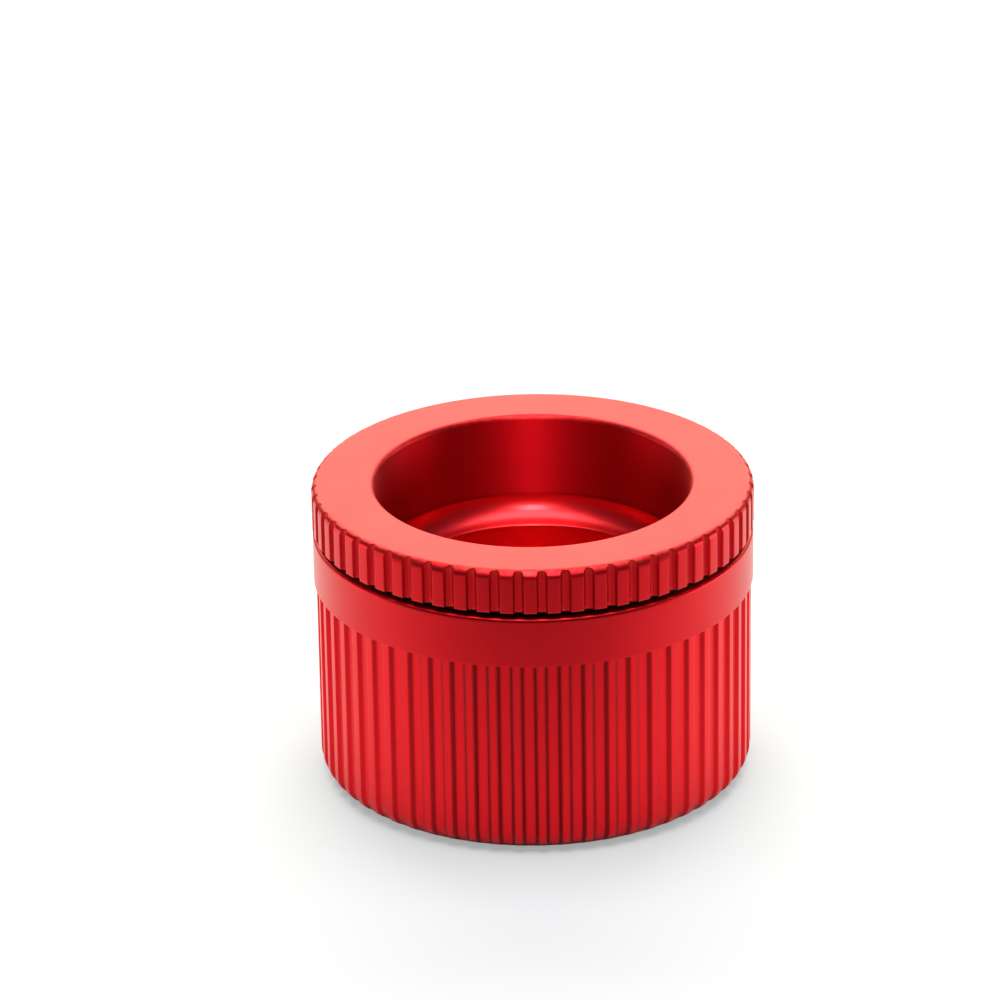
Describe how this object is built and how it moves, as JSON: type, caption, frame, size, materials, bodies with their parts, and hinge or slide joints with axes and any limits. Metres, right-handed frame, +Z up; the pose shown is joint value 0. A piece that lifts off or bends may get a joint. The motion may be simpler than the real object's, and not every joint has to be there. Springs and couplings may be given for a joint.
{
  "type": "espresso knock box",
  "caption": "Round fluted container with a screw-on grooved rim, a lift-out bowl and a padded bar across it for knocking out spent coffee.",
  "frame": {"origin": "centre of the resting plane, under the feet", "axes": "+Z up, out of the mouth; the knock bar lies along X; -Y faces the viewer"},
  "size_m": [0.11, 0.11, 0.077],
  "materials": {
    "red_anodised": "bead-blasted, satin red anodised",
    "red_anodised_collar": "bead-blasted, satin red anodised",
    "red_anodised_bowl": "satin red anodised",
    "black_seal": "matt black rubber",
    "black_rubber": "matt black rubber",
    "red_silicone": "matt red silicone",
    "black_nylon": "matt black nylon",
    "black_anodised": "satin black anodised",
    "steel": "brushed stainless steel"
  },
  "bodies": {
    "housing": {"body_shell": "red_anodised", "bowl_cushion": "black_rubber", "floor_pad": "black_rubber", "neck_gasket": "black_seal", "base_plate": "black_anodised", "base_screws": "steel", "rubber_feet": "black_rubber"},
    "collar_carrier": {"damper_ring": "black_seal"},
    "collar": {"rim_collar": "red_anodised_collar", "skirt_o_ring": "black_seal"},
    "bowl": {"drop_in_bowl": "red_anodised_bowl"},
    "knock_bar": {"bar_rod": "steel", "bar_sleeve": "red_silicone", "bar_washers": "steel", "bar_end_bushes": "black_nylon"}
  },
  "joints": [
    {"name": "collar_rise", "type": "slide", "parent": "housing", "child": "collar_carrier", "axis": [0, 0, 1], "range_m": [0, 0.0081]},
    {"name": "collar_turn", "type": "hinge", "parent": "collar_carrier", "child": "collar", "pos_m": [0, 0, 0.07], "axis": [0, 0, 1], "range_deg": [0, 720]},
    {"name": "bowl_lift", "type": "slide", "parent": "housing", "child": "bowl", "axis": [0, 0, 1], "range_m": [0, 0.08]},
    {"name": "bar_lift", "type": "slide", "parent": "bowl", "child": "knock_bar", "axis": [0, 0, 1], "range_m": [0, 0.04]}
  ],
  "couplings": [
    {"joint": "collar_rise", "follows": "collar_turn", "m_per_rad": 0.00063662}
  ]
}
